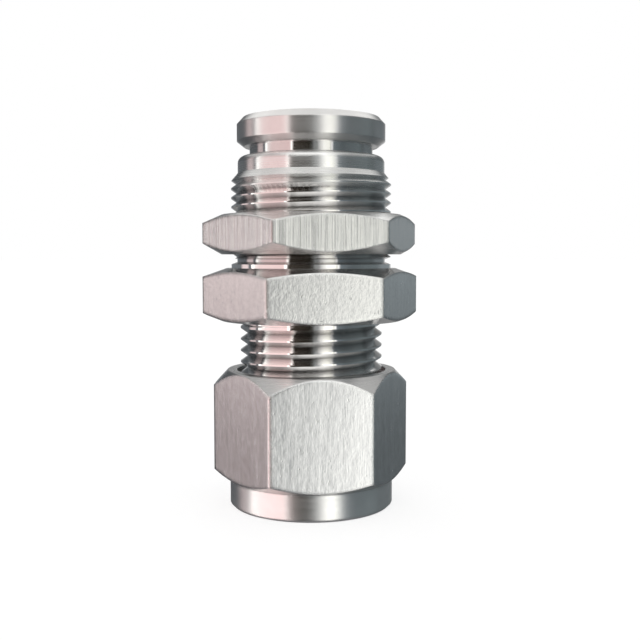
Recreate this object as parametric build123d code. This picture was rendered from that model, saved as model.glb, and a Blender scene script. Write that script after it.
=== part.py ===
from build123d import *
import os
from math import atan2, cos, degrees, radians, sin, sqrt, tan

# Bulkhead reducer fitting: push-in end above, twin-ferrule compression end below.
# Millimetres, +Z along the tube axis towards the push-in end.
# The origin is the centre of the panel seat, the upper face of the body hexagon.

# Tubes
push_tube_d = 10.0
clamp_tube_d = 8.0
clamp_tube_wall = 1.0
tube_clearance = 0.05

# Threads, both right-hand: M18x1 above and 5/8-20 below, from the walls and sizes further down
panel_thread_pitch = 1.0
panel_groove_height = 0.71
union_thread_pitch = 1.27
union_groove_height = -7.89
thread_depth_share = 0.6134
crest_flat_share = 0.125
cutter_reach = 0.05
nut_thread_clearance = 0.05
runout_turns = 0.4
runout_start_angle = 360.0

# Walls, outwards from the tubes to the spanner flats
sleeve_wall = 0.85
guide_wall = 0.53
mouth_wall = 1.155
lead_step = 0.755
panel_nut_wall = 1.59
clamp_end_wall = 3.9375
union_nut_wall = 1.5625

# Body, push-in end
push_end_length = 12.28
mouth_edge_r = 0.75
mouth_break = 0.15
shoulder_length = 1.83
lead_cone_height = 0.9
seat_collar_height = 0.42
relief_depth_below_root = 0.04
relief_slope = 0.24
relief_flat = 0.3
mouth_depth = 11.48
tube_socket_depth = 4.8
socket_lead = 0.25

# Body, hexagon and compression end
body_hex_length = 5.81
hex_upper_inset = 1.05
hex_upper_slope = 19.5
hex_lower_inset = 0.4
hex_lower_slope = 22.0
clamp_end_length = 11.69
clamp_end_chamfer = 0.8
clamp_stop_depth = 3.24
ferrule_cone_length = 2.45
ferrule_half_angle = 20.0

# Panel lock nut
lock_nut_length = 4.36
lock_nut_height = 1.5
lock_nut_face_inset = 0.5
lock_nut_upper_slope = 24.0
lock_nut_lower_slope = 29.5
lock_nut_turn = 3.3
lock_nut_bore_chamfer = 0.35

# Union nut
union_nut_gap = 5.54
union_nut_hex_length = 12.25
union_nut_collar_length = 2.95
union_nut_collar_inset = 0.33
union_nut_face_inset = 0.1
union_nut_upper_slope = 47.0
union_nut_lower_slope = 30.0
union_nut_turn = -1.3
union_nut_recess_gap = 0.4625
union_nut_recess_depth = 1.25
union_nut_break = 0.3
pull_up_length = 1.7
nut_hole_clearance = 0.15
nut_hole_break = 0.4

# Release ring
release_gap = 1.07
release_travel = 1.0
travel_margin = 0.2
flange_overhang = 1.415
flange_length = 3.12
flange_upper_run = 0.64
flange_upper_rise = 0.7
flange_lower_run = 0.78
flange_lower_rise = 0.6
neck_gap = 0.18
release_bore_clearance = 0.15
release_bore_chamfer = 0.5
sleeve_tip_taper = 0.35
bead_depth = 0.3
bead_length = 0.7
bead_gap = 0.02
sleeve_slot_count = 4
sleeve_slot_width = 0.7
sleeve_slot_length = 3.2

# Guide ring, lock claws, claw seat and seal, stacked in the mouth
press_clearance = 0.02
guide_length = 4.2
guide_lip_length = 1.6
guide_clearance = 0.1
bead_clearance = 0.15
claw_thickness = 0.35
claw_rim_width = 0.7
claw_slope = 40.0
claw_count = 10
claw_slot_width = 0.6
claw_slot_web = 0.35
claw_flex_gap = 0.25
claw_seat_length = 1.75
claw_seat_lip_gap = 0.25
seal_length = 2.5
seal_lip_depth = 0.6
seal_lip_width = 0.4

# Ferrules
ferrule_gap = 0.03
ferrule_bore_clearance = 0.1
front_ferrule_tip_wall = 0.3
front_ferrule_wall = 1.5
front_ferrule_rim = 0.6
front_ferrule_pocket_depth = 0.7
front_ferrule_pocket_width = 0.75
ferrule_chamber_clearance = 0.25
back_ferrule_wall = 1.4
back_ferrule_rim = 1.55
back_ferrule_end_wall = 0.5

# How far a cut reaches past the face that it opens
overshoot = 1.0

# Radii that follow at the push-in end, from the tube outwards
push_socket_r = push_tube_d / 2 + tube_clearance
claw_seat_lip_r = push_socket_r + claw_seat_lip_gap
release_bore_r = push_tube_d / 2 + release_bore_clearance
sleeve_r = release_bore_r + sleeve_wall
pressed_r = sleeve_r + bead_depth + bead_clearance + guide_wall
mouth_r = pressed_r + press_clearance
neck_r = mouth_r - neck_gap
flange_r = neck_r + flange_overhang
shoulder_r = mouth_r + mouth_wall
panel_crest_r = shoulder_r + lead_step
panel_root_r = panel_crest_r - thread_depth_share * panel_thread_pitch

# Radii that follow at the compression end, from the tube outwards
through_bore_r = clamp_tube_d / 2 - clamp_tube_wall
clamp_socket_r = clamp_tube_d / 2 + tube_clearance
ferrule_bore_r = clamp_tube_d / 2 + ferrule_bore_clearance
nut_hole_r = clamp_tube_d / 2 + nut_hole_clearance
front_ferrule_r = clamp_tube_d / 2 + front_ferrule_wall
back_ferrule_r = clamp_tube_d / 2 + back_ferrule_wall
union_crest_r = clamp_tube_d / 2 + clamp_end_wall
union_root_r = union_crest_r - thread_depth_share * union_thread_pitch

# Spanner sizes, 21 mm for the body hexagon and the lock nut and 19 mm for the union nut
panel_spanner = (panel_crest_r + panel_nut_wall) * 2
union_spanner = (union_crest_r + union_nut_wall) * 2
lock_nut_face_r = panel_spanner / 2 - lock_nut_face_inset
union_nut_face_r = union_spanner / 2 - union_nut_face_inset
union_nut_collar_r = union_spanner / 2 - union_nut_collar_inset
union_nut_recess_r = union_crest_r + union_nut_recess_gap

# Heights that follow, from the mouth down to the end of the body
shoulder_height = push_end_length - shoulder_length
gland_floor = push_end_length - mouth_depth
tube_stop = gland_floor - tube_socket_depth
seal_top = gland_floor + seal_length
claw_seat_top = seal_top + claw_seat_length
claw_top = claw_seat_top + claw_thickness
guide_top = claw_top + guide_length
hex_bottom = -body_hex_length
clamp_end = hex_bottom - clamp_end_length
clamp_stop = hex_bottom - clamp_stop_depth
clamp_cone_start = clamp_end + ferrule_cone_length
ferrule_cone = tan(radians(ferrule_half_angle))


def turned(*points):
    """A solid of revolution about Z from (radius, height) points."""
    return revolve(Plane.XZ * make_face(Polyline(*points, close=True)), Axis.Z)


def plug(radius, low, high):
    """A plain cylinder between two heights."""
    return Pos(0, 0, low) * Cylinder(radius, high - low, align=(Align.CENTER, Align.CENTER, Align.MIN))


def hexagon(across_flats, low, high, turn):
    """A hexagonal bar, one corner on +X at turn 0."""
    outline = RegularPolygon(across_flats / 2, 6, major_radius=False)
    return Pos(0, 0, low) * Rot(0, 0, turn) * extrude(outline, high - low)


def past_corner(across_flats):
    """A radius just outside a hexagon's corners."""
    return across_flats / sqrt(3) + overshoot


def cone_drop(from_r, to_r, slope):
    """How far a cone of this slope falls between two radii."""
    return (to_r - from_r) * tan(radians(slope))


def groove_section(crest_r, root_r, pitch):
    """A thread groove's section at the root radius, leaving a crest flat of an eighth of the pitch.
    The flanks meet in a sharp root at the standard depth, so they open a little past 60 degrees."""
    depth = crest_r - root_r + cutter_reach
    half_mouth = pitch * (1 - crest_flat_share) / 2 * depth / (crest_r - root_r)
    outline = Polyline((0, 0), (depth, -half_mouth), (depth, half_mouth), close=True)
    return Plane(origin=(root_r, 0, 0), x_dir=(1, 0, 0), z_dir=(0, -1, 0)) * make_face(outline)


def groove_angle(height, groove_height, pitch):
    """The angle at which a thread groove passes a height, in degrees."""
    return (height - groove_height) / pitch * 360


def thread_groove(crest_r, root_r, pitch, groove_height, low, high):
    """The helical cut of a thread whose groove is at groove_height on the +X side."""
    cut = sweep(groove_section(crest_r, root_r, pitch), path=Helix(pitch, high - low, root_r), is_frenet=True)
    return Pos(0, 0, low) * Rot(0, 0, groove_angle(low, groove_height, pitch)) * cut


def thread_runout(crest_r, root_r, pitch, groove_height, low):
    """The last part of a turn, where the cutter leaves the work."""
    climb = runout_turns * pitch
    lift = crest_r - root_r + cutter_reach
    path = Helix(pitch, climb, root_r, cone_angle=degrees(atan2(lift, climb)))
    cut = sweep(groove_section(crest_r, root_r, pitch), path=path, is_frenet=True)
    return Pos(0, 0, low) * Rot(0, 0, groove_angle(low, groove_height, pitch)) * cut


def push_end():
    """The threaded barrel above the hexagon, not yet bored."""
    relief_r = panel_root_r - relief_depth_below_root
    relief_low = seat_collar_height + relief_slope
    relief_high = relief_low + relief_flat
    thread_low = relief_high + relief_slope
    cone_low = shoulder_height - lead_cone_height
    centre_r = shoulder_r - mouth_edge_r
    centre_z = push_end_length - mouth_edge_r
    edge = ThreePointArc(
        (shoulder_r, centre_z),
        (centre_r + mouth_edge_r * sin(radians(45)), centre_z + mouth_edge_r * cos(radians(45))),
        (centre_r, push_end_length))
    side = Polyline(
        (centre_r, push_end_length), (0, push_end_length), (0, 0),
        (panel_crest_r, 0), (panel_crest_r, seat_collar_height),
        (relief_r, relief_low), (relief_r, relief_high), (panel_crest_r, thread_low),
        (panel_crest_r, cone_low), (shoulder_r, shoulder_height), (shoulder_r, centre_z))
    outline = revolve(Plane.XZ * make_face([edge, side]), Axis.Z)
    groove_low = (relief_low + relief_high) / 2
    groove = thread_groove(panel_crest_r, panel_root_r, panel_thread_pitch, panel_groove_height,
                           groove_low, shoulder_height + panel_thread_pitch / 2)
    return (plug(panel_crest_r, 0, push_end_length) - groove) & outline


def clamp_end_rod():
    """The threaded rod below the hexagon, not yet bored."""
    outline = turned(
        (0, hex_bottom), (union_crest_r, hex_bottom), (union_crest_r, clamp_end + clamp_end_chamfer),
        (union_crest_r - clamp_end_chamfer, clamp_end), (0, clamp_end))
    full_high = union_groove_height + runout_start_angle / 360 * union_thread_pitch
    thread = (union_crest_r, union_root_r, union_thread_pitch, union_groove_height)
    rod = plug(union_crest_r, clamp_end, hex_bottom)
    rod = rod - thread_groove(*thread, clamp_end - union_thread_pitch / 2, full_high)
    rod = rod - thread_runout(*thread, full_high)
    return rod & outline


def body_middle():
    """The hexagon, with its two turned chamfers."""
    corner = past_corner(panel_spanner)
    upper_r = panel_spanner / 2 - hex_upper_inset
    lower_r = panel_spanner / 2 - hex_lower_inset
    upper_drop = cone_drop(upper_r, corner, hex_upper_slope)
    lower_drop = cone_drop(lower_r, corner, hex_lower_slope)
    chamfers = turned(
        (0, 0), (upper_r, 0), (corner, -upper_drop), (corner, hex_bottom + lower_drop),
        (lower_r, hex_bottom), (0, hex_bottom))
    return hexagon(panel_spanner, hex_bottom, 0, 0) & chamfers


def body_bore():
    """The stepped passage from the mouth to the ferrule cone."""
    mouth_lead = mouth_r + mouth_break
    cone_end_r = clamp_socket_r + (clamp_cone_start - clamp_end) * ferrule_cone
    above = push_end_length + overshoot
    below = clamp_end - overshoot
    return turned(
        (0, above), (mouth_lead, above), (mouth_lead, push_end_length),
        (mouth_r, push_end_length - mouth_break), (mouth_r, gland_floor),
        (push_socket_r + socket_lead, gland_floor),
        (push_socket_r, gland_floor - socket_lead), (push_socket_r, tube_stop),
        (through_bore_r, tube_stop), (through_bore_r, clamp_stop),
        (clamp_socket_r, clamp_stop), (clamp_socket_r, clamp_cone_start),
        (cone_end_r, clamp_end), (cone_end_r, below), (0, below))


def make_fitting_body():
    return push_end() + body_middle() + clamp_end_rod() - body_bore()


def make_lock_nut():
    low = lock_nut_height
    high = lock_nut_height + lock_nut_length
    bore_r = panel_crest_r + nut_thread_clearance
    lead_r = bore_r + lock_nut_bore_chamfer
    corner = past_corner(panel_spanner)
    lower_drop = cone_drop(lock_nut_face_r, corner, lock_nut_lower_slope)
    upper_drop = cone_drop(lock_nut_face_r, corner, lock_nut_upper_slope)
    outline = turned(
        (lead_r, low), (lock_nut_face_r, low), (corner, low + lower_drop), (corner, high - upper_drop),
        (lock_nut_face_r, high), (lead_r, high), (bore_r, high - lock_nut_bore_chamfer),
        (bore_r, low + lock_nut_bore_chamfer))
    return hexagon(panel_spanner, low, high, lock_nut_turn) & outline


def make_release_ring():
    under = push_end_length + release_gap
    top = under + flange_length
    neck_low = guide_top + release_travel + travel_margin
    bead_top = guide_top - guide_lip_length - bead_gap
    bead_low = bead_top - bead_length
    tip = claw_top + release_travel + travel_margin
    bead_r = sleeve_r + bead_depth
    blank = turned(
        (release_bore_r, tip), (bead_r - sleeve_tip_taper, tip), (bead_r, bead_low), (bead_r, bead_top),
        (sleeve_r, bead_top), (sleeve_r, neck_low), (neck_r, neck_low), (neck_r, under),
        (flange_r - flange_lower_run, under), (flange_r, under + flange_lower_rise),
        (flange_r, top - flange_upper_rise), (flange_r - flange_upper_run, top),
        (release_bore_r + release_bore_chamfer, top), (release_bore_r, top - release_bore_chamfer))
    slot = Pos(0, 0, tip) * Box(neck_r, sleeve_slot_width, sleeve_slot_length,
                                align=(Align.MIN, Align.CENTER, Align.MIN))
    for turn in range(sleeve_slot_count):
        blank = blank - Rot(0, 0, 360 / sleeve_slot_count * (turn + 0.5)) * slot
    return blank


def make_guide_ring():
    lip_r = sleeve_r + guide_clearance
    chamber_r = sleeve_r + bead_depth + bead_clearance
    lip_low = guide_top - guide_lip_length
    return turned(
        (chamber_r, claw_top), (pressed_r, claw_top), (pressed_r, guide_top), (lip_r, guide_top),
        (lip_r, lip_low), (chamber_r, lip_low))


def claw_line_height(radius, drop):
    """Height of a line parallel to the claws' upper side, a vertical drop below it."""
    slope = tan(radians(claw_slope))
    return claw_top - (pressed_r - claw_rim_width - radius) * slope - drop


def make_lock_claws():
    rim_r = pressed_r - claw_rim_width
    slope = tan(radians(claw_slope))
    leg_drop = claw_thickness / cos(radians(claw_slope))
    heel_r = rim_r + (leg_drop - claw_thickness) / slope
    blank = turned(
        (heel_r, claw_seat_top), (pressed_r, claw_seat_top), (pressed_r, claw_top), (rim_r, claw_top),
        (push_socket_r, claw_line_height(push_socket_r, 0)),
        (push_socket_r, claw_line_height(push_socket_r, leg_drop)))
    height = claw_top - seal_top + overshoot
    slot = Pos(0, 0, seal_top) * Box(pressed_r - claw_slot_web, claw_slot_width, height,
                                     align=(Align.MIN, Align.CENTER, Align.MIN))
    for turn in range(claw_count):
        blank = blank - Rot(0, 0, 360 / claw_count * turn) * slot
    return blank


def make_claw_seat():
    drop = claw_thickness / cos(radians(claw_slope)) + claw_flex_gap
    shelf_r = pressed_r - claw_rim_width + claw_flex_gap
    return turned(
        (claw_seat_lip_r, seal_top), (pressed_r, seal_top), (pressed_r, claw_seat_top),
        (shelf_r, claw_seat_top), (shelf_r, claw_line_height(shelf_r, drop)),
        (claw_seat_lip_r, claw_line_height(claw_seat_lip_r, drop)))


def make_tube_seal():
    web_r = push_socket_r + seal_lip_depth
    middle = gland_floor + seal_length / 2
    half_lip = seal_lip_width / 2
    return turned(
        (web_r, gland_floor), (pressed_r, gland_floor), (pressed_r, seal_top), (web_r, seal_top),
        (push_socket_r, middle + half_lip), (push_socket_r, middle - half_lip))


# Ferrule heights, from the body's cone down to the shoulder in the union nut
front_tip_r = clamp_socket_r + front_ferrule_tip_wall
seat_gap = ferrule_gap / cos(radians(ferrule_half_angle))
front_tip = clamp_cone_start - (front_ferrule_tip_wall + seat_gap) / ferrule_cone
front_rim_top = front_tip - (front_ferrule_r - front_tip_r) / ferrule_cone
front_back = front_rim_top - front_ferrule_rim
back_rim_top = front_back - ferrule_gap
back_rim_low = back_rim_top - back_ferrule_rim


def make_front_ferrule():
    pocket_r = ferrule_bore_r + front_ferrule_pocket_width
    return turned(
        (ferrule_bore_r, front_tip), (front_tip_r, front_tip), (front_ferrule_r, front_rim_top),
        (front_ferrule_r, front_back), (pocket_r, front_back),
        (ferrule_bore_r, front_back + front_ferrule_pocket_depth))


def make_back_ferrule():
    nose_height = front_ferrule_pocket_depth / 2
    nose_r = ferrule_bore_r + front_ferrule_pocket_width - ferrule_gap * 2
    nose_tip_r = nose_r - front_ferrule_pocket_width / 2
    end_r = ferrule_bore_r + back_ferrule_end_wall
    end = back_rim_low - (back_ferrule_r - end_r)
    return turned(
        (ferrule_bore_r, front_back + nose_height), (nose_tip_r, front_back + nose_height),
        (nose_r, front_back), (nose_r, back_rim_top), (back_ferrule_r, back_rim_top),
        (back_ferrule_r, back_rim_low), (end_r, end), (ferrule_bore_r, end))


def make_union_nut():
    top = hex_bottom - union_nut_gap
    hex_low = top - union_nut_hex_length
    foot = hex_low - union_nut_collar_length
    corner = past_corner(union_spanner)
    upper_drop = cone_drop(union_nut_face_r, corner, union_nut_upper_slope)
    lower_drop = cone_drop(union_nut_collar_r, corner, union_nut_lower_slope)
    chamfers = turned(
        (0, top), (union_nut_face_r, top), (corner, top - upper_drop), (corner, hex_low + lower_drop),
        (union_nut_collar_r, hex_low), (0, hex_low))
    collar = turned(
        (0, hex_low), (union_nut_collar_r, hex_low), (union_nut_collar_r, foot + union_nut_break),
        (union_nut_collar_r - union_nut_break, foot), (0, foot))
    thread_r = union_crest_r + nut_thread_clearance
    recess_low = top - union_nut_recess_depth
    thread_lead = union_nut_recess_r - thread_r
    chamber_top = clamp_end - pull_up_length
    chamber_r = front_ferrule_r + ferrule_chamber_clearance
    shoulder_top = back_rim_low - ferrule_gap * sqrt(2) + chamber_r - back_ferrule_r
    shoulder_low = shoulder_top - (chamber_r - nut_hole_r)
    lead_r = nut_hole_r + nut_hole_break
    bore = turned(
        (0, top + overshoot), (union_nut_recess_r, top + overshoot), (union_nut_recess_r, recess_low),
        (thread_r, recess_low - thread_lead), (thread_r, chamber_top), (chamber_r, chamber_top),
        (chamber_r, shoulder_top), (nut_hole_r, shoulder_low), (nut_hole_r, foot + nut_hole_break),
        (lead_r, foot), (lead_r, foot - overshoot), (0, foot - overshoot))
    return (hexagon(union_spanner, hex_low, top, union_nut_turn) & chamfers) + collar - bore


pieces = {
    "fitting_body": make_fitting_body,
    "lock_nut": make_lock_nut,
    "release_ring": make_release_ring,
    "guide_ring": make_guide_ring,
    "lock_claws": make_lock_claws,
    "claw_seat": make_claw_seat,
    "tube_seal": make_tube_seal,
    "front_ferrule": make_front_ferrule,
    "back_ferrule": make_back_ferrule,
    "union_nut": make_union_nut,
}

os.makedirs("parts", exist_ok=True)
for name, make in pieces.items():
    export_step(make(), f"parts/{name}.step")
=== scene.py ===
from math import cos, pi, radians, sin

import bpy
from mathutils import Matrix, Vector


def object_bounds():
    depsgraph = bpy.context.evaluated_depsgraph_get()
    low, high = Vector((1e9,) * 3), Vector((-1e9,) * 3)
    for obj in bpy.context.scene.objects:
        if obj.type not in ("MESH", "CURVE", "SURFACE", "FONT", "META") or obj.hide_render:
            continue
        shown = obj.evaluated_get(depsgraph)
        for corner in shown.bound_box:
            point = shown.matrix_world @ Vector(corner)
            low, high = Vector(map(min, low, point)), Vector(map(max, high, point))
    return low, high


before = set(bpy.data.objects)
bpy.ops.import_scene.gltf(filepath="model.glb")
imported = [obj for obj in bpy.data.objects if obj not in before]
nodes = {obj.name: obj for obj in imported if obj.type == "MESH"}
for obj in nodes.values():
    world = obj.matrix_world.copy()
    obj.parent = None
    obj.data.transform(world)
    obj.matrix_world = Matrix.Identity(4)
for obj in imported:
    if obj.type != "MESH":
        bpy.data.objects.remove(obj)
cad_low, cad_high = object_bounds()

MM = 0.001

# The camera stands a little left of the body hexagon's front flat, looking slightly down
CAMERA_YAW = radians(-8.4)
CAMERA_PITCH = radians(3.998)
CAMERA_SIDE = 0.99 * MM
CAMERA_DISTANCE = 103.0 * MM
CAMERA_HEIGHT = 1.32 * MM
CAMERA_LENS = 51.5
SENSOR_WIDTH = 36.0
CLIP_START = 0.005
CLIP_END = 20.0

# Across the flats of the body hexagon and the lock nut, and of the union nut
PANEL_FLATS = 21.0 * MM
UNION_FLATS = 19.0 * MM
# How far a polygon of a flat may be from upright, and from the flat's distance to the axis
FLAT_TILT = 0.02
FLAT_MARGIN = 0.01 * MM

# Heights where the finish changes, each the lower end of what it names
SHOULDER_FOOT = 8.6 * MM
PANEL_THREAD_FOOT = 0.7 * MM
UNION_HEX_FOOT = -23.6 * MM
FLANGE_FOOT = 13.3 * MM

# Colours of the finishes
STEEL = (0.74, 0.735, 0.725)
DRAWN_NUT = (0.94, 0.94, 0.935)
DRAWN_BODY = (0.80, 0.80, 0.79)
MILLED = (0.69, 0.69, 0.68)
POLISHED = (0.84, 0.83, 0.82)
SHOULDER = (0.80, 0.80, 0.79)
SATIN = (0.80, 0.79, 0.78)
COLLAR = (0.93, 0.925, 0.915)
CHAMFER = (0.62, 0.615, 0.61)
SPRING = (0.62, 0.62, 0.62)
RUBBER = (0.025, 0.025, 0.027)

# Lathe marks: how many a millimetre, and their relief in millimetres
TURNING_MARKS = 5.0
TURNING_RELIEF = 0.0075
# A quarter turn from the tangent, so that the marks smear lights along the axis
ACROSS_MARKS = 0.25
# What is left of the colour at the bottom of a thread, where the darkening is painted shade
ROOT_PAINTED_SHADE = 0.65

# The parts of a noise's range that a roughness and a colour follow, and how far they vary with it
ROUGHNESS_BAND = (0.3, 0.7)
TONE_BAND = (0.25, 0.75)
TURNED_ROUGHNESS_SHARES = (0.85, 1.15)
TURNED_TONE_SPREAD = 0.04
FLAT_ROUGHNESS = 0.22
FLAT_ROUGHNESS_SHARES = (0.8, 1.3)
FLAT_TONE_SPREAD = 0.16
RUBBER_ROUGHNESS = (0.5, 0.7)
RUBBER_TONE_SPREAD = 0.3

# Noise scales for each axis, per millimetre
BLOTCHES = (0.5, 0.5, 0.5)
RUBBER_GRAIN = (6.0, 6.0, 6.0)
FLECKS = (3.0, 3.0, 2.2)
# Where the flecks of drawn bar begin and are complete in their noise, and how far they sink
FLECK_EDGE = (0.68, 0.76)
FLECK_FALL = -0.5
# The broad marks on flats: their scales as shares of the fine marks' scales, and their relief
BROAD_ACROSS = 0.3
BROAD_ALONG = 0.5
BROAD_RELIEF = 1.5
# The mottle's scale along the bar, as a share of its scale across
MOTTLE_ALONG = 0.7
# The share of each of mottle, fine marks and flecks in the colour of flats
TONE_SHARE = 0.5
FLAT_ANISOTROPY = 0.2

# Rays for each eased edge
EDGE_SAMPLES = 6

# Studio surroundings, as tones by the angle from the camera's side: minus is to the camera's left
SURROUND = [
    (-180, (0.80, 0.81, 0.81)),
    (-160, (0.22, 0.24, 0.26)),
    (-119, (0.20, 0.215, 0.23)),
    (-113, (1.15, 0.95, 0.95)),
    (-101, (1.15, 0.97, 0.97)),
    (-98, (0.16, 0.18, 0.20)),
    (-94, (0.16, 0.18, 0.20)),
    (-92.5, (1.9, 1.85, 1.8)),
    (-89.5, (1.9, 1.85, 1.8)),
    (-87, (1.10, 1.02, 1.00)),
    (-78, (1.00, 0.78, 0.77)),
    (-38, (0.98, 0.73, 0.72)),
    (-36.5, (1.9, 1.8, 1.75)),
    (-34.5, (1.9, 1.8, 1.75)),
    (-33, (0.05, 0.04, 0.032)),
    (-2, (0.02, 0.017, 0.012)),
    (3, (0.08, 0.08, 0.075)),
    (6, (0.25, 0.26, 0.26)),
    (12, (0.30, 0.31, 0.31)),
    (15, (0.66, 0.66, 0.65)),
    (20, (1.00, 1.00, 0.97)),
    (24, (1.30, 1.30, 1.24)),
    (35, (1.30, 1.30, 1.20)),
    (37, (0.55, 0.55, 0.50)),
    (39, (1.4, 1.4, 1.4)),
    (42, (0.17, 0.20, 0.22)),
    (60, (0.105, 0.125, 0.135)),
    (105, (0.15, 0.18, 0.19)),
    (120, (0.27, 0.31, 0.33)),
    (150, (0.27, 0.31, 0.33)),
    (166, (0.75, 0.76, 0.76)),
    (180, (0.80, 0.81, 0.81)),
]
# The warm wall to the left and the soft box to the right, which are lighter towards the floor
WALLS = [
    (-180, 0.0), (-94, 0.0), (-88, 1.0), (-36, 1.0), (-31, 0.0),
    (4, 0.0), (9, 1.0), (37, 1.0), (42, 0.0), (180, 0.0)]
# What lies beside and behind the object, which is darker low down and high up
BEYOND = [(-180, 1.0), (-98, 1.0), (-95, 0.0), (100, 0.0), (112, 1.0), (180, 1.0)]

# Changes with height, where 1 is straight up: two heights and the value at each, else 0 and 1
WALL_LIFT = (-0.25, 0.15, 0.42, -0.14)
BEYOND_LOW = (-0.19, 0.03, -0.66, 0.0)
BEYOND_HIGH = (0.05, 0.11, 0.0, -0.6)
ROOF_EDGE = (0.40, 0.62)
ROOF_TOP = (0.75, 0.97, 1.0, 0.45)
GROUND_EDGE = (-0.72, -0.86)
# The same for the distance to the camera's left or right, where 1 is straight to the side
ROOF_SIDES = (0.30, 0.70, 1.0, 0.25)
ROOF = (1.75, 1.75, 1.73)
GROUND = (0.15, 0.15, 0.16)

# The floor shows shadows in its own colour and glows the rest of its white
FLOOR_REACH = 6.0
FLOOR_LIT = (0.30, 0.30, 0.30)
FLOOR_GLOW = 0.74
# What the object is lit with from below
FLOOR_TO_OBJECT = (0.30, 0.31, 0.32)


def place_camera():
    data = bpy.data.cameras.new("camera")
    data.lens = CAMERA_LENS
    data.sensor_width = SENSOR_WIDTH
    data.clip_start = CLIP_START
    data.clip_end = CLIP_END
    camera = bpy.data.objects.new("camera", data)
    camera.location = (
        CAMERA_SIDE * cos(CAMERA_YAW) + CAMERA_DISTANCE * sin(CAMERA_YAW),
        CAMERA_SIDE * sin(CAMERA_YAW) - CAMERA_DISTANCE * cos(CAMERA_YAW),
        CAMERA_HEIGHT)
    camera.rotation_euler = (pi / 2 - CAMERA_PITCH, 0, CAMERA_YAW)
    bpy.context.scene.collection.objects.link(camera)
    bpy.context.scene.camera = camera


class Graph:
    """A small helper that adds and links shader nodes."""

    def __init__(self, tree):
        self.tree = tree
        tree.nodes.clear()

    def add(self, kind, inputs=(), **settings):
        node = self.tree.nodes.new(kind)
        for name, value in settings.items():
            setattr(node, name, value)
        for name, value in dict(inputs).items():
            self.put(node.inputs[name], value)
        return node

    def put(self, socket, value):
        if isinstance(value, bpy.types.NodeSocket):
            self.tree.links.new(value, socket)
        else:
            socket.default_value = value

    def math(self, operation, *values):
        node = self.add("ShaderNodeMath", operation=operation)
        for socket, value in zip(node.inputs, values):
            self.put(socket, value)
        return node.outputs[0]

    def vector(self, operation, *values, out=0):
        node = self.add("ShaderNodeVectorMath", operation=operation)
        for socket, value in zip(node.inputs, values):
            self.put(socket, value)
        return node.outputs[out]

    def scaled(self, vector, factor):
        node = self.add("ShaderNodeVectorMath", {"Scale": factor}, operation="SCALE")
        self.put(node.inputs[0], vector)
        return node.outputs[0]

    def ramp(self, factor, stops):
        node = self.add("ShaderNodeValToRGB")
        ramp = node.color_ramp
        while len(ramp.elements) < len(stops):
            ramp.elements.new(0.5)
        for element, (position, colour) in zip(ramp.elements, stops):
            element.position = position
            element.color = (*colour, 1.0)
        self.put(node.inputs[0], factor)
        return node.outputs["Color"]

    def range(self, value, low, high, to_low=0.0, to_high=1.0):
        node = self.add("ShaderNodeMapRange")
        for name, number in (("Value", value), ("From Min", low), ("From Max", high),
                             ("To Min", to_low), ("To Max", to_high)):
            self.put(node.inputs[name], number)
        return node.outputs["Result"]

    def colour_mix(self, factor, first, second):
        """Goes by socket number, because a mix node's sockets for other kinds share the names."""
        node = self.add("ShaderNodeMix", data_type="RGBA")
        for number, value in ((0, factor), (6, first), (7, second)):
            self.put(node.inputs[number], value)
        return node.outputs[2]

    def shader_mix(self, factor, first, second):
        node = self.add("ShaderNodeMixShader")
        for socket, value in zip(node.inputs, (factor, first, second)):
            self.put(socket, value)
        return node.outputs[0]

    def shader_sum(self, first, second):
        node = self.add("ShaderNodeAddShader")
        for socket, value in zip(node.inputs, (first, second)):
            self.put(socket, value)
        return node.outputs[0]


def new_material(name):
    material = bpy.data.materials.new(name)
    material.use_nodes = True
    return material, Graph(material.node_tree)


def by_turn(g, turn, stops):
    """A colour that follows the turn, where 0 to 1 stands for -180 to 180 degrees."""
    return g.ramp(turn, [(angle / 360 + 0.5, tone) for angle, tone in stops])


def share_by_turn(g, turn, stops):
    return by_turn(g, turn, [(angle, (share, share, share)) for angle, share in stops])


def light_world():
    """Plain white light, with a studio of soft boxes, walls and flags for the metal to show."""
    world = bpy.data.worlds.new("studio")
    bpy.context.scene.world = world
    world.use_nodes = True
    g = Graph(world.node_tree)
    direction = g.add("ShaderNodeTexCoord").outputs["Generated"]
    height = g.add("ShaderNodeSeparateXYZ", {"Vector": direction}).outputs["Z"]
    right = (cos(CAMERA_YAW), sin(CAMERA_YAW), 0)
    front = (sin(CAMERA_YAW), -cos(CAMERA_YAW), 0)
    across = g.vector("DOT_PRODUCT", direction, right, out=1)
    towards = g.vector("DOT_PRODUCT", direction, front, out=1)
    turn = g.math("MULTIPLY_ADD", g.math("ARCTAN2", across, towards), 1 / (2 * pi), 0.5)
    drop = g.math("ADD", g.range(height, *BEYOND_LOW), g.range(height, *BEYOND_HIGH))
    gain = g.math("MULTIPLY_ADD", share_by_turn(g, turn, BEYOND), drop, 1.0)
    lift = g.range(height, *WALL_LIFT)
    gain = g.math("MULTIPLY_ADD", share_by_turn(g, turn, WALLS), lift, gain)
    around = g.scaled(by_turn(g, turn, SURROUND), gain)
    aside = g.range(g.math("ABSOLUTE", across), *ROOF_SIDES)
    roof = g.scaled(ROOF, g.math("MULTIPLY", aside, g.range(height, *ROOF_TOP)))
    upper = g.colour_mix(g.range(height, *ROOF_EDGE), around, roof)
    studio = g.colour_mix(g.range(height, *GROUND_EDGE), upper, (*GROUND, 1))
    plain = g.add("ShaderNodeBackground", {"Color": (1, 1, 1, 1), "Strength": 1.0})
    shown = g.add("ShaderNodeBackground", {"Color": studio, "Strength": 1.0})
    path = g.add("ShaderNodeLightPath")
    both = g.shader_mix(path.outputs["Is Glossy Ray"], plain.outputs[0], shown.outputs[0])
    g.add("ShaderNodeOutputWorld", {"Surface": both})


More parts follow.
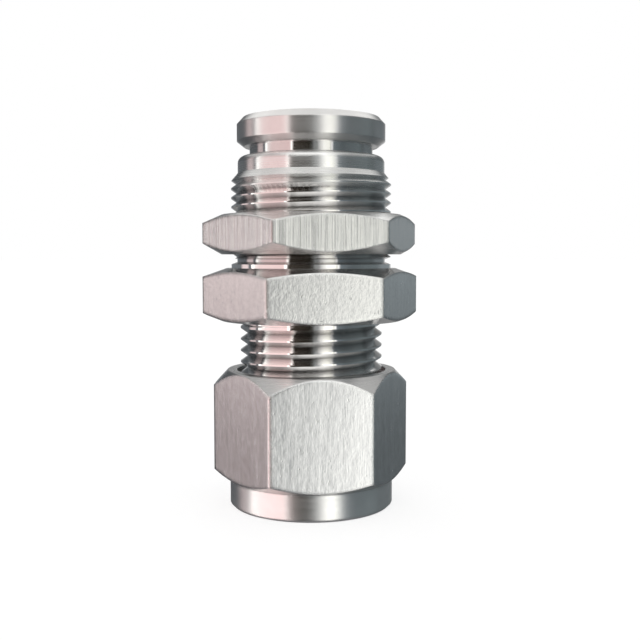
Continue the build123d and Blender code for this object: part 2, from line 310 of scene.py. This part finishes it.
def make_floor():
    """A pale floor that shows as white with the object's soft shadow, and that metal sees past."""
    far = FLOOR_REACH
    corners = [(x, y, cad_low[2]) for x, y in ((-far, -far), (far, -far), (far, far), (-far, far))]
    mesh = bpy.data.meshes.new("floor")
    mesh.from_pydata(corners, [], [(0, 1, 2, 3)])
    floor = bpy.data.objects.new("floor", mesh)
    bpy.context.scene.collection.objects.link(floor)
    material, g = new_material("floor_white")
    lit = g.add("ShaderNodeBsdfDiffuse", {"Color": (*FLOOR_LIT, 1)}).outputs[0]
    glow = g.add("ShaderNodeEmission", {"Color": (1, 1, 1, 1), "Strength": FLOOR_GLOW}).outputs[0]
    grey = g.add("ShaderNodeBsdfDiffuse", {"Color": (*FLOOR_TO_OBJECT, 1)}).outputs[0]
    clear = g.add("ShaderNodeBsdfTransparent").outputs[0]
    path = g.add("ShaderNodeLightPath")
    to_object = g.shader_mix(path.outputs["Is Glossy Ray"], grey, clear)
    surface = g.shader_mix(path.outputs["Is Camera Ray"], to_object, g.shader_sum(lit, glow))
    g.add("ShaderNodeOutputMaterial", {"Surface": surface})
    mesh.materials.append(material)


def principled(g, **inputs):
    shader = g.add("ShaderNodeBsdfPrincipled", {
        name.replace("_", " "): value for name, value in inputs.items()})
    g.add("ShaderNodeOutputMaterial", {"Surface": shader.outputs[0]})


def object_place(g):
    return g.add("ShaderNodeTexCoord").outputs["Object"]


def distance_from_axis(g, place):
    return g.vector("LENGTH", g.vector("MULTIPLY", place, (1, 1, 0)), out=1)


def round_the_axis(g):
    return g.add("ShaderNodeTangent", direction_type="RADIAL", axis="Z").outputs[0]


def scaled_noise(g, scale, detail=3.0, roughness=0.55):
    """Noise over the object's own coordinates, with a scale for each axis, per millimetre."""
    stretched = g.vector("MULTIPLY", object_place(g), tuple(s / MM for s in scale))
    noise = g.add("ShaderNodeTexNoise", {
        "Vector": stretched, "Scale": 1.0, "Detail": detail, "Roughness": roughness})
    return noise.outputs["Fac"]


def ring_noise(g, rings):
    """Noise that changes with height and radius only: the marks a lathe leaves."""
    place = object_place(g)
    height = g.add("ShaderNodeSeparateXYZ", {"Vector": place}).outputs["Z"]
    where = g.add("ShaderNodeCombineXYZ", {
        "X": g.math("MULTIPLY", distance_from_axis(g, place), rings / MM),
        "Y": g.math("MULTIPLY", height, rings / MM)})
    noise = g.add("ShaderNodeTexNoise", {"Vector": where.outputs[0], "Scale": 1.0, "Detail": 2.0})
    return noise.outputs["Fac"]


def bump(g, height, strength, distance, edge=0.0):
    """Relief from a height, over edges that are eased by a radius in millimetres."""
    node = g.add("ShaderNodeBump", {
        "Height": height, "Strength": strength, "Distance": distance * MM})
    if edge:
        eased = g.add("ShaderNodeBevel", {"Radius": edge * MM}, samples=EDGE_SAMPLES)
        g.put(node.inputs["Normal"], eased.outputs[0])
    return node.outputs["Normal"]


def toned(g, factor, colour, spread):
    """The colour, a little darker and lighter with the factor."""
    darker = tuple(c * (1 - spread) for c in colour)
    lighter = tuple(min(c * (1 + spread), 1.0) for c in colour)
    return g.ramp(factor, list(zip(TONE_BAND, (darker, lighter))))


def turned_steel(name, colour=STEEL, rough=0.30, along=0.95, edge=0.0, roots=()):
    """Bright steel with fine turning marks round the axis, which smear its lights along it.

    The roots are the radii, in millimetres, between which a thread's colour darkens towards its
    bottom: painted shade in the thread's roots.
    """
    material, g = new_material(name)
    rings = ring_noise(g, TURNING_MARKS)
    tone = toned(g, scaled_noise(g, BLOTCHES), colour, TURNED_TONE_SPREAD)
    # Painted shade: the colour darkens towards the bottom of a thread, between the root radii
    if roots:
        bottom, clear = (radius * MM for radius in roots)
        radius = distance_from_axis(g, object_place(g))
        tone = g.scaled(tone, g.range(radius, bottom, clear, ROOT_PAINTED_SHADE, 1.0))
    least, most = (rough * share for share in TURNED_ROUGHNESS_SHARES)
    principled(
        g, Base_Color=tone, Metallic=1.0, Roughness=g.range(rings, *ROUGHNESS_BAND, least, most),
        Anisotropic=along, Anisotropic_Rotation=ACROSS_MARKS, Tangent=round_the_axis(g),
        Normal=bump(g, rings, strength=0.25, distance=TURNING_RELIEF, edge=edge))
    return material


def flat_steel(name, colour, lines, line_length, depth, edge, brush=1.0, pits=0.0, grain=1.5):
    """Hexagon flats: straight marks along the bar, and the mottle and pits of drawn bar.

    Lines and grain are per millimetre. The depth, edge and line length are in millimetres.
    Brush and pits are the shares of the marks and of the mottle in the relief.
    """
    material, g = new_material(name)
    run = 1 / line_length
    scratch = scaled_noise(g, (lines, lines, run), detail=3.0, roughness=0.8)
    broad_lines = lines * BROAD_ACROSS
    broad = scaled_noise(g, (broad_lines, broad_lines, run * BROAD_ALONG), detail=1.0)
    mottle = scaled_noise(g, (grain, grain, grain * MOTTLE_ALONG), detail=4.0, roughness=0.6)
    fleck = scaled_noise(g, FLECKS, detail=2.0)
    pit = g.range(fleck, *FLECK_EDGE, 0.0, FLECK_FALL)
    marks = g.math("ADD", scratch, g.math("MULTIPLY", broad, BROAD_RELIEF))
    marks = g.math("MULTIPLY", marks, brush)
    height = g.math("MULTIPLY_ADD", g.math("ADD", mottle, pit), pits, marks)
    tone = g.math("MULTIPLY_ADD", mottle, TONE_SHARE, g.math("MULTIPLY", scratch, TONE_SHARE))
    tone = g.math("ADD", tone, g.math("MULTIPLY", pit, TONE_SHARE))
    least, most = (FLAT_ROUGHNESS * share for share in FLAT_ROUGHNESS_SHARES)
    principled(
        g, Base_Color=toned(g, tone, colour, FLAT_TONE_SPREAD), Metallic=1.0,
        Roughness=g.range(tone, *ROUGHNESS_BAND, least, most),
        Anisotropic=FLAT_ANISOTROPY, Tangent=round_the_axis(g),
        Normal=bump(g, height, strength=0.35, distance=depth, edge=edge))
    return material


def seal_rubber(name):
    material, g = new_material(name)
    grain = scaled_noise(g, RUBBER_GRAIN)
    principled(
        g, Base_Color=toned(g, grain, RUBBER, RUBBER_TONE_SPREAD),
        Roughness=g.range(grain, *ROUGHNESS_BAND, *RUBBER_ROUGHNESS),
        Normal=bump(g, grain, strength=0.2, distance=0.02))
    return material


def dress(node, *materials, pick=None):
    """Gives a solid its materials, each polygon the one whose number the pick function returns."""
    mesh = nodes[node].data
    mesh.materials.clear()
    for material in materials:
        mesh.materials.append(material)
    for polygon in mesh.polygons:
        polygon.use_smooth = True
        polygon.material_index = pick(polygon) if pick else 0


def lies_on_flat(polygon, across):
    """Whether a polygon belongs to the flats of a hexagon of that size."""
    centre, normal = polygon.center, polygon.normal
    distance = abs(centre.x * normal.x + centre.y * normal.y)
    return abs(normal.z) < FLAT_TILT and abs(distance - across / 2) < FLAT_MARGIN


def on_body(polygon):
    """The flats have the second material, the mouth the third, the panel thread the fourth."""
    if polygon.center.z > SHOULDER_FOOT:
        return 2
    if polygon.center.z > PANEL_THREAD_FOOT:
        return 3
    return int(lies_on_flat(polygon, PANEL_FLATS))


def on_lock_nut(polygon):
    return int(lies_on_flat(polygon, PANEL_FLATS))


def on_union_nut(polygon):
    """The collar has the first material, the flats the second, chamfers and bore the third."""
    if polygon.center.z > UNION_HEX_FOOT:
        return 1 if lies_on_flat(polygon, UNION_FLATS) else 2
    return 0


def on_ring(polygon):
    """The satin flange has the second material, above the polished neck."""
    return int(polygon.center.z > FLANGE_FOOT)


place_camera()
light_world()
make_floor()

dress("fitting_body",
      turned_steel("steel_turned", POLISHED, rough=0.13, roots=(7.2, 7.9)),
      flat_steel("steel_drawn_body", DRAWN_BODY, lines=1.3, line_length=3.0, depth=0.05, edge=0.65,
                 brush=0.3, pits=0.9, grain=3.2),
      turned_steel("steel_shoulder", SHOULDER, rough=0.27),
      turned_steel("steel_panel_thread", POLISHED, rough=0.13, roots=(8.25, 8.85)),
      pick=on_body)
dress("lock_nut",
      turned_steel("steel_nut_face", rough=0.24, along=0.6, edge=0.2),
      flat_steel("steel_milled", MILLED, lines=4.5, line_length=30.0, depth=0.09, edge=0.5),
      pick=on_lock_nut)
dress("union_nut",
      turned_steel("steel_collar", COLLAR, rough=0.37, along=0.7, edge=0.3),
      flat_steel("steel_drawn_nut", DRAWN_NUT, lines=1.2, line_length=6.0, depth=0.045, edge=0.65,
                 brush=0.7, pits=0.9),
      turned_steel("steel_nut_chamfer", CHAMFER, rough=0.28, along=0.6, edge=0.2),
      pick=on_union_nut)
dress("release_ring",
      turned_steel("steel_neck", rough=0.15, edge=0.1),
      turned_steel("steel_satin", SATIN, rough=0.32, along=0.8, edge=0.15),
      pick=on_ring)
dress("guide_ring", turned_steel("steel_guide"))
dress("claw_seat", turned_steel("steel_seat"))
dress("lock_claws", turned_steel("steel_claws", SPRING, rough=0.32))
dress("front_ferrule", turned_steel("steel_front_ferrule", rough=0.22))
dress("back_ferrule", turned_steel("steel_back_ferrule", rough=0.22))
dress("tube_seal", seal_rubber("seal_rubber"))

bpy.context.scene.view_settings.view_transform = "Standard"
